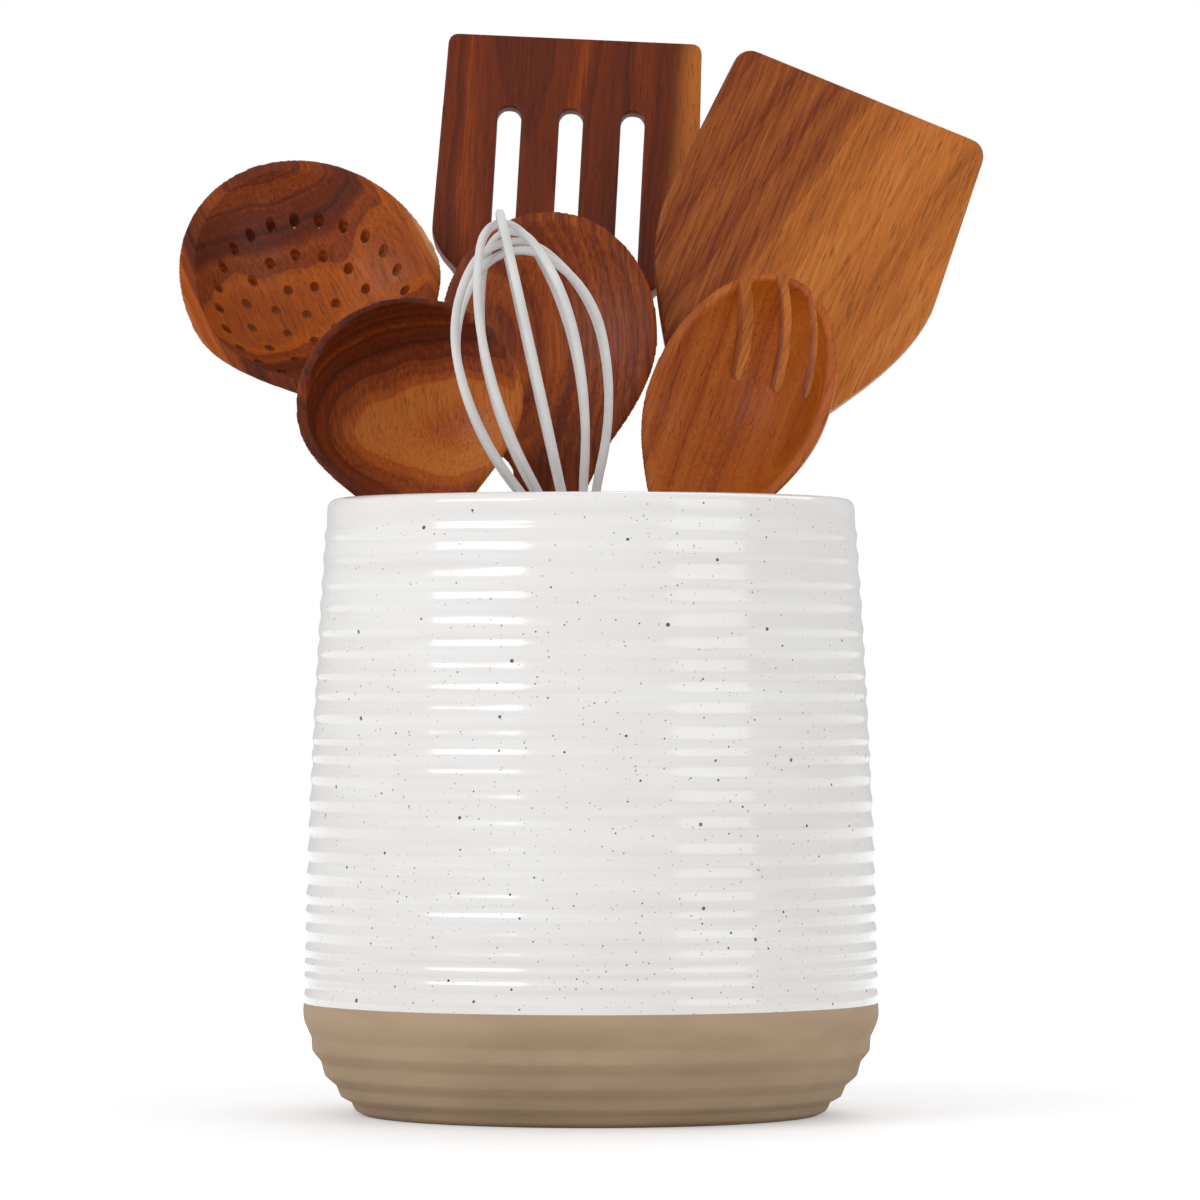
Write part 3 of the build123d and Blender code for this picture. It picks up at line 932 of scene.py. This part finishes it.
def grip_profile(end_radius, middle_radius, top_radius, length):
    """Points up a turned grip: its rounded end, then a slow change to its middle and its top."""
    profile = arc((0, 0), end_radius, -pi / 2, 0, END_STEPS)
    for step in range(1, GRIP_STEPS + 1):
        share = step / GRIP_STEPS
        if share < 0.5:
            radius = end_radius + (middle_radius - end_radius) * ease(2 * share)
        else:
            radius = middle_radius + (top_radius - middle_radius) * ease(2 * share - 1)
        profile.append((radius, length * share))
    return profile


def handle(length, blend):
    """A turned handle with a hanging hole, tapered out inside its head."""
    profile = grip_profile(HANDLE_END_RADIUS, HANDLE_RADIUS, NECK_RADIUS, length)
    for step in range(1, END_STEPS):
        share = step / END_STEPS
        profile.append((NECK_RADIUS * (1 - share**2), length + blend * share))
    profile.append((0, length + blend))
    grip = turned("handle", profile, HANDLE_STEPS)
    place_at = (0, 0, HANG_HOLE_HEIGHT)
    hole = rod("hang_hole", HANG_HOLE_RADIUS, 4 * HANDLE_RADIUS, place_at, QUARTER_TURN)
    combine(grip, hole, "DIFFERENCE")
    return grip


def sand(piece):
    """Blends a carved piece's forms into one skin and softens its edges."""
    modify(piece, "REMESH", mode="VOXEL", voxel_size=VOXEL)
    modify(piece, "SMOOTH", factor=SANDED_SHARE, iterations=SANDED_PASSES)


def put_in_crock(scene, piece, node):
    """Stands a wooden utensil in the crock and gives it its own wood."""
    where = stand(scene.crock, node)
    place(piece, where)
    shade(piece)
    dress(piece, wood_material(scene.crock_wood, node, where), node, TIMBERS[node].slot, node)


def half_blade(turner, height):
    """Half of a blade's width and thickness at a height, drawn in at the tip's rounded corners."""
    if height < turner.shoulder:
        share = ease((height - turner.neck) / (turner.shoulder - turner.neck))
        half_width = NECK_RADIUS / 2 + (turner.width - NECK_RADIUS) / 2 * share
        return half_width, NECK_RADIUS + (turner.thickness / 2 - NECK_RADIUS) * share
    share = (height - turner.shoulder) / (turner.length - turner.shoulder)
    half_width = (turner.width + (turner.tip_width - turner.width) * share) / 2
    radius = turner.corner_radius
    into_corner = max(0, height - (turner.length - radius))
    half_width = half_width - radius + sqrt(max(0, radius**2 - into_corner**2))
    return half_width, (turner.thickness + (turner.tip_thickness - turner.thickness) * share) / 2


def carved_turner(turner):
    """A turner, upright: a block cut to the blade's outline and thinned, on a round handle."""
    deselect()
    bpy.ops.mesh.primitive_cube_add(size=2)
    blade = named(f"carved_{turner.node}")
    bpy.ops.object.mode_set(mode="EDIT")
    bpy.ops.mesh.select_all(action="SELECT")
    bpy.ops.mesh.subdivide(number_cuts=BLADE_CUTS)
    bpy.ops.object.mode_set(mode="OBJECT")

    def cut_out(x, y, z):
        height = turner.neck + turner.head_length * sin((z + 1) * pi / 4)
        half_width, half_thickness = half_blade(turner, height)
        return x * half_width, y * half_thickness, height

    carve(blade, cut_out)
    tidy(blade)
    blend = turner.head_length * TURNER_BLEND_SHARE
    combine(blade, handle(turner.neck + blend, blend), "UNION")
    return blade


def slots(width, length, depth, pitch, middle):
    """Three long slots with round ends, upright and side by side, as one cutter."""
    cutters = []
    for x in (-pitch, 0, pitch):
        deselect()
        bpy.ops.mesh.primitive_cube_add(size=1, location=(x, 0, middle))
        bpy.context.object.scale = (width, depth, length - width)
        cutter = named("slot")
        for end in (-1, 1):
            place_at = (x, 0, middle + end * (length - width) / 2)
            combine(cutter, rod("slot_end", width / 2, depth, place_at, QUARTER_TURN), "UNION")
        cutters.append(cutter)
    return joined(cutters)


def bowl_half_width(spoon, z):
    """Half of a bowl's width at a height, from its neck, through its widest, to its tip."""
    share = (z - spoon.low) / spoon.bowl_length
    if share < spoon.widest_share:
        neck_share = 2 * NECK_RADIUS / spoon.width
        rise = 0.5 - 0.5 * cos(pi * (max(share, 0) / spoon.widest_share) ** BOWL_SWELL)
        return spoon.width / 2 * (neck_share + (1 - neck_share) * rise)
    beyond = (share - spoon.widest_share) / (1 - spoon.widest_share)
    return spoon.width / 2 * sqrt(max(0, 1 - beyond**BOWL_CROWN))


def bowl_depth(spoon, x, z, wall):
    """Depth behind the rim of the bowl's back, or of its hollow for a wall, at a place."""
    centre = ((spoon.width / 2) ** 2 - spoon.depth**2) / (2 * spoon.depth)
    reach = hypot(bowl_half_width(spoon, z), centre) - wall
    return sqrt(max(0, reach**2 - x**2)) - centre


def carved_spoon(spoon):
    """A spoon, upright: a ball pressed to the bowl's outline, back, rim and hollow, on a handle."""
    spine_length = spoon.bowl_length * SPINE_SHARE
    hollow_edges = {}

    def outline(angle):
        """The rim's place at an angle round the bowl's widest height."""
        reach = spoon.length - spoon.widest if sin(angle) > 0 else spoon.widest - spoon.low
        height = spoon.widest + reach * sin(angle)
        half_width = bowl_half_width(spoon, height)
        if abs(cos(angle)) < SMALL_SHARE:
            return 0.0, height
        return (half_width if cos(angle) > 0 else -half_width), height

    def hollow_edge(angle):
        """The share of the way out to the rim at which the hollow starts."""
        key = round(angle / SMALL_SHARE)
        if key not in hollow_edges:
            x, z = outline(angle)
            inside, outside = 0.0, 1.0
            for _ in range(SEARCH_STEPS):
                middle = (inside + outside) / 2
                level = spoon.widest + middle * (z - spoon.widest)
                if bowl_depth(spoon, middle * x, level, spoon.wall) > 0:
                    inside = middle
                else:
                    outside = middle
            hollow_edges[key] = inside
        return hollow_edges[key]

    def press(x, y, z):
        """Where a point of the ball goes: its back to the bowl's back, its front to the hollow."""
        angle = atan2(z, x)
        edge_x, edge_z = outline(angle)
        turn = acos(max(-1, min(1, y)))
        if turn <= pi / 2:
            reach = sin(turn)
        else:
            front = turn / (pi / 2) - 1
            edge = hollow_edge(angle)
            if front < RIM_SHARE:
                reach = 1 - (1 - edge) * front / RIM_SHARE
            else:
                reach = edge * cos((front - RIM_SHARE) / (1 - RIM_SHARE) * pi / 2)
        x = reach * edge_x
        z = spoon.widest + reach * (edge_z - spoon.widest)
        if turn <= pi / 2:
            depth = max(0, bowl_depth(spoon, x, z, 0))
            taper = max(0, 1 - (max(0, z - spoon.low) / spine_length) ** 2)
            spine = NECK_RADIUS * (1 + taper) * exp(-((x / (SPINE_SPREAD * NECK_RADIUS)) ** 2))
            depth = max(depth, spine if taper > 0 else 0)
        else:
            depth = max(0, bowl_depth(spoon, x, z, spoon.wall))
        return x, depth - NECK_RADIUS, z

    deselect()
    bpy.ops.mesh.primitive_uv_sphere_add(
        segments=BOWL_SEGMENTS, ring_count=BOWL_RINGS, radius=1, rotation=(-pi / 2, 0, 0)
    )
    bowl = named(f"carved_{spoon.node}")
    carve(bowl, press)
    tidy(bowl)
    combine(bowl, handle(spoon.low, spoon.bowl_length * HANDLE_TIP_SHARE), "UNION")
    return bowl


def drill(spoon, x, z):
    """A drill that slopes down and back through a bowl's wall from a place in its hollow."""
    place_at = (x, bowl_depth(spoon, x, z, spoon.wall) - NECK_RADIUS, z)
    slope = Vector((0, 1, -DRILL_SLOPE)).to_track_quat("Z", "Y").to_euler()
    return rod("drill", SKIMMER_HOLE_RADIUS, 4 * spoon.wall, place_at, slope, HANDLE_STEPS // 2)


class CROCK_OT_add_turners(bpy.types.Operator):
    """Adds the slotted turner and the solid turner"""

    bl_idname = "crock.add_turners"
    bl_label = "Turners"

    def execute(self, context):
        slotted = carved_turner(SLOTTED)
        middle = SLOTTED.length - SLOT_MARGIN - SLOT_LENGTH / 2
        cutter = slots(SLOT_WIDTH, SLOT_LENGTH, 4 * SLOTTED.thickness, SLOT_PITCH, middle)
        combine(slotted, cutter, "DIFFERENCE")
        sand(slotted)
        put_in_crock(context.scene, slotted, SLOTTED.node)
        solid = carved_turner(SOLID)
        sand(solid)
        put_in_crock(context.scene, solid, SOLID.node)
        return {"FINISHED"}


class CROCK_OT_add_spoons(bpy.types.Operator):
    """Adds the skimmer, the serving spoon and the mixing spoon"""

    bl_idname = "crock.add_spoons"
    bl_label = "Spoons"

    def execute(self, context):
        skimmer = carved_spoon(SKIMMER)
        sand(skimmer)
        drills = []
        for ring, count in enumerate((1, *SKIMMER_RING_COUNTS)):
            radius = ring * SKIMMER_RING_PITCH
            for step in range(count):
                angle = 2 * pi * step / count
                height = SKIMMER.widest + radius * sin(angle)
                drills.append(drill(SKIMMER, radius * cos(angle), height))
        combine(skimmer, joined(drills), "DIFFERENCE")
        put_in_crock(context.scene, skimmer, SKIMMER.node)
        for spoon in (SERVING, MIXING):
            piece = carved_spoon(spoon)
            sand(piece)
            put_in_crock(context.scene, piece, spoon.node)
        return {"FINISHED"}


class CROCK_OT_add_fork(bpy.types.Operator):
    """Adds the salad fork"""

    bl_idname = "crock.add_fork"
    bl_label = "Salad fork"

    def execute(self, context):
        fork = carved_spoon(FORK)
        length = 2 * FORK_SLOT_DEPTH
        cutter = slots(FORK_SLOT_WIDTH, length, 4 * FORK.depth, FORK_SLOT_PITCH, FORK.length)
        combine(fork, cutter, "DIFFERENCE")
        sand(fork)
        put_in_crock(context.scene, fork, FORK.node)
        return {"FINISHED"}


# Whisk


def whisk_grip():
    """The whisk's turned grip, upright, with a tenon for the ferrule."""
    tenon_low = WHISK_HANDLE_LENGTH - TENON_LENGTH
    tenon_radius = FERRULE_RADIUS - FERRULE_WALL - JOINT_GAP
    profile = grip_profile(WHISK_END_RADIUS, WHISK_HANDLE_RADIUS, FERRULE_RADIUS, tenon_low)
    profile += [(tenon_radius, tenon_low), (tenon_radius, WHISK_HANDLE_LENGTH)]
    profile.append((0, WHISK_HANDLE_LENGTH))
    return turned("whisk_grip", profile, HANDLE_STEPS)


def whisk_collar():
    """The whisk's steel ferrule, upright, with softened ends."""
    low = WHISK_HANDLE_LENGTH - TENON_LENGTH + JOINT_GAP
    high = low + FERRULE_LENGTH
    inner = FERRULE_RADIUS - FERRULE_WALL
    soft = FERRULE_WALL / 4
    profile = [
        (inner, low + soft), (inner + soft, low), (FERRULE_RADIUS - soft, low),
        (FERRULE_RADIUS, low + soft), (FERRULE_RADIUS, high - soft),
        (FERRULE_RADIUS - soft, high), (inner + soft, high), (inner, high - soft),
        (inner, low + soft),
    ]
    return turned("whisk_collar", profile, 2 * HANDLE_STEPS)


def whisk_cap(whisk):
    """The whisk's plug, upright: a domed cap with a hole for each wire."""
    radius = FERRULE_RADIUS - FERRULE_WALL - JOINT_GAP
    low = WHISK_HANDLE_LENGTH + JOINT_GAP
    top = low + PLUG_LENGTH
    dome_radius = (radius**2 + PLUG_DOME**2) / (2 * PLUG_DOME)
    spread = asin(radius / dome_radius)
    dome = arc((0, top - dome_radius), dome_radius, pi / 2 - spread, pi / 2, END_STEPS)
    cap = turned("whisk_cap", [(0, low), (radius, low), *dome[:-1], (0, top)], HANDLE_STEPS)
    for step in range(2 * WIRE_COUNT):
        angle = WIRE_FIRST_TURN + pi * step / WIRE_COUNT
        place_at = (WIRE_FOOT_RADIUS * cos(angle), WIRE_FOOT_RADIUS * sin(angle), top)
        hole_radius = whisk.wire_radius + JOINT_GAP
        hole = rod("wire_hole", hole_radius, 2 * WIRE_SEAT_DEPTH, place_at, steps=HANDLE_STEPS // 2)
        combine(cap, hole, "DIFFERENCE")
    return cap


def loop_points(whisk, layer):
    """A loop's points, upright, as (out, up): from its seat, out, over the top and back down."""
    plug_top = WHISK_HANDLE_LENGTH + JOINT_GAP + PLUG_LENGTH
    widest = plug_top + BALLOON_HEIGHT * BALLOON_WIDEST_SHARE
    top = plug_top + BALLOON_HEIGHT - layer * (2 * whisk.wire_radius + WIRE_CLEARANCE)
    rise = top - widest - CROWN_RADIUS
    radius = whisk.balloon_radius
    side_radius = (radius**2 + rise**2 - CROWN_RADIUS**2) / (2 * (radius - CROWN_RADIUS))
    lean = atan2(rise, side_radius - radius)
    middle = ((WIRE_FOOT_RADIUS + radius) / 2, (plug_top + widest) / 2)
    run = middle[0] - WIRE_FOOT_RADIUS
    climb = middle[1] - plug_top
    flare = (run**2 + climb**2) / (2 * run)
    sweep = 2 * atan2(run, climb)
    half = [(WIRE_FOOT_RADIUS, plug_top - WIRE_SEAT_DEPTH)]
    half += arc((WIRE_FOOT_RADIUS + flare, plug_top), flare, pi, pi - sweep, ARC_STEPS)
    half += arc((radius - flare, widest), flare, -sweep, 0, ARC_STEPS)[1:]
    half += arc((radius - side_radius, widest), side_radius, 0, lean, ARC_STEPS // 2)[1:]
    half += arc((0, top - CROWN_RADIUS), CROWN_RADIUS, lean, pi / 2, ARC_STEPS)[1:]
    return half + [(-out, up) for out, up in reversed(half[:-1])]


def wire_loop(name, whisk, layer, turn):
    """One coated loop, upright: a round tube along its line."""
    curve = bpy.data.curves.new(name, "CURVE")
    curve.dimensions = "3D"
    curve.bevel_depth = whisk.wire_radius
    curve.bevel_resolution = WIRE_BEVEL_STEPS
    curve.use_fill_caps = True
    points = loop_points(whisk, layer)
    spline = curve.splines.new("POLY")
    spline.points.add(len(points) - 1)
    for point, (out, up) in zip(spline.points, points):
        point.co = (out * cos(turn), out * sin(turn), up, 1)
    loop = bpy.data.objects.new(name, curve)
    bpy.context.scene.collection.objects.link(loop)
    make_active(loop)
    bpy.ops.object.convert(target="MESH")
    return bpy.context.object


class CROCK_OT_add_whisk(bpy.types.Operator):
    """Adds the whisk: its grip, ferrule, plug and coated loops"""

    bl_idname = "crock.add_whisk"
    bl_label = "Whisk"

    def execute(self, context):
        scene = context.scene
        whisk = scene.crock_whisk
        where = stand(scene.crock, "whisk")
        coating = silicone_material(whisk)
        steel = steel_material(whisk, where)
        wood = wood_material(scene.crock_wood, "whisk_grip", where)
        for piece, material, slot, node in (
            (whisk_grip(), wood, TIMBERS["whisk_grip"].slot, "whisk_handle"),
            (whisk_collar(), steel, "brushed_steel", "whisk_ferrule"),
            (whisk_cap(whisk), coating, "grey_silicone", "whisk_plug"),
        ):
            place(piece, where)
            shade(piece)
            dress(piece, material, "whisk", slot, node)
        for number, layer in enumerate(WIRE_ORDER):
            turn = WIRE_FIRST_TURN + number * pi / WIRE_COUNT
            loop = wire_loop(f"wire_loop_{number + 1}", whisk, layer, turn)
            place(loop, where)
            shade(loop)
            dress(loop, coating, "whisk", "grey_silicone", f"whisk_coating_{number + 1}")
            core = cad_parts[f"whisk_core_{number + 1}"]
            core.data.materials.clear()
            core.data.materials.append(steel)
        return {"FINISHED"}


# Studio


def white_to_camera(shader, surface, far):
    """A surface that also glows, for the camera and in reflections, so that it shows white.

    Near the crock, where the lamps light it too, it glows less, so that the shadow shows.
    """
    seen = shader.add("ShaderNodeLightPath", output="Is Camera Ray")
    for ray in ("Is Glossy Ray", "Is Transmission Ray"):
        seen = shader.math("MAXIMUM", seen, shader.add("ShaderNodeLightPath", output=ray))
    near_glow, far_glow = (
        shader.add("ShaderNodeEmission", None, {"Color": WHITE, "Strength": strength})
        for strength in (FLOOR_GLOW_NEAR, FLOOR_GLOW_FAR)
    )
    glow = shader.add("ShaderNodeMixShader", None, {0: far, 1: near_glow, 2: far_glow})
    lit = shader.add("ShaderNodeAddShader", None, {0: surface, 1: glow})
    return shader.add("ShaderNodeMixShader", None, {0: seen, 1: surface, 2: lit})


def floor_material(studio):
    """A matte pale floor that keeps the shadow."""
    shader = material_shader("Pale floor")
    coords = shader.coordinates()
    grain = shader.noise(coords, scale=0.4)
    shown = shader.mix(grain, dimmed(studio.floor, FLOOR_SHADE), studio.floor)
    inputs = {"Base Color": shown, "Roughness": 0.55}
    surface = shader.add("ShaderNodeBsdfPrincipled", None, inputs)
    across, back = shader.part(coords, 0), shader.part(coords, 1)
    reach = (across * across + back * back) ** 0.5
    far = reach.between(FLOOR_NEAR / MM, FLOOR_FAR / MM)
    surface = white_to_camera(shader, surface, far)
    shader.add("ShaderNodeOutputMaterial", None, {"Surface": surface})
    return shader.owner


def studio_world(studio):
    """Even light from all round, behind which the camera sees plain white."""
    shader = Shader(bpy.data.worlds.new("Studio world"))
    ambient, white = (
        shader.add("ShaderNodeBackground", None, {"Color": WHITE, "Strength": strength})
        for strength in (studio.world_strength, 1)
    )
    seen = shader.add("ShaderNodeLightPath", output="Is Camera Ray")
    mixed = shader.add("ShaderNodeMixShader", None, {0: seen, 1: ambient, 2: white})
    shader.add("ShaderNodeOutputWorld", None, {"Surface": mixed})
    return shader.owner


def softbox(name, place_at, aim, size, power):
    """A rectangular light at a place, aimed at a point."""
    deselect()
    bpy.ops.object.light_add(type="AREA", location=place_at)
    light = bpy.context.object
    light.name = name
    light.data.shape = "RECTANGLE"
    light.data.size, light.data.size_y = size
    light.data.energy = power
    aim_way = Vector(aim) - Vector(place_at)
    light.rotation_euler = aim_way.to_track_quat("-Z", "Y").to_euler()


class CROCK_OT_set_stage(bpy.types.Operator):
    """Sets the floor, the lights, the world and the camera"""

    bl_idname = "crock.set_stage"
    bl_label = "Studio"

    def execute(self, context):
        scene = context.scene
        studio = scene.crock_studio
        deselect()
        bpy.ops.mesh.primitive_plane_add(size=FLOOR_SIZE, location=(0, 0, 0))
        floor = named("studio_floor")
        floor.data.materials.append(floor_material(studio))

        middle = (0, 0, CAMERA_HEIGHT)
        for name, (place_at, size) in LIGHTS.items():
            softbox(f"{name}_light", place_at, middle, size, getattr(studio, f"{name}_power"))
        scene.world = studio_world(studio)

        bpy.ops.object.camera_add(
            location=(0, -CAMERA_DISTANCE, CAMERA_HEIGHT), rotation=QUARTER_TURN
        )
        camera = context.object
        camera.name = "studio_camera"
        camera.data.lens = CAMERA_LENS
        camera.data.shift_x, camera.data.shift_y = CAMERA_SHIFT
        scene.camera = camera
        scene.view_settings.view_transform = "Standard"
        return {"FINISHED"}


class CROCK_PT_panel(bpy.types.Panel):
    """Lists the crock's sizes, colours and pieces in the sidebar"""

    bl_idname = "CROCK_PT_panel"
    bl_label = "Utensil crock"
    bl_space_type = "VIEW_3D"
    bl_region_type = "UI"
    bl_category = "Crock"

    def draw(self, context):
        layout = self.layout
        for attribute, _ in SETTINGS:
            box = layout.box()
            settings = getattr(context.scene, attribute)
            for key in settings.__annotations__:
                box.prop(settings, key)
        for operator in OPERATORS:
            layout.operator(operator.bl_idname)


SETTINGS = (
    ("crock", CrockSettings),
    ("crock_wood", WoodSettings),
    ("crock_whisk", WhiskSettings),
    ("crock_studio", StudioSettings),
)
OPERATORS = (
    CROCK_OT_add_crock,
    CROCK_OT_add_turners,
    CROCK_OT_add_spoons,
    CROCK_OT_add_fork,
    CROCK_OT_add_whisk,
    CROCK_OT_set_stage,
)


def register():
    for attribute, group in SETTINGS:
        bpy.utils.register_class(group)
        setattr(bpy.types.Scene, attribute, PointerProperty(type=group))
    for operator in OPERATORS:
        bpy.utils.register_class(operator)
    bpy.utils.register_class(CROCK_PT_panel)


def unregister():
    bpy.utils.unregister_class(CROCK_PT_panel)
    for operator in reversed(OPERATORS):
        bpy.utils.unregister_class(operator)
    for attribute, group in reversed(SETTINGS):
        delattr(bpy.types.Scene, attribute)
        bpy.utils.unregister_class(group)


def main():
    register()
    bpy.ops.crock.add_crock()
    bpy.ops.crock.add_turners()
    bpy.ops.crock.add_spoons()
    bpy.ops.crock.add_fork()
    bpy.ops.crock.add_whisk()
    bpy.ops.crock.set_stage()


if __name__ == "__main__":
    main()
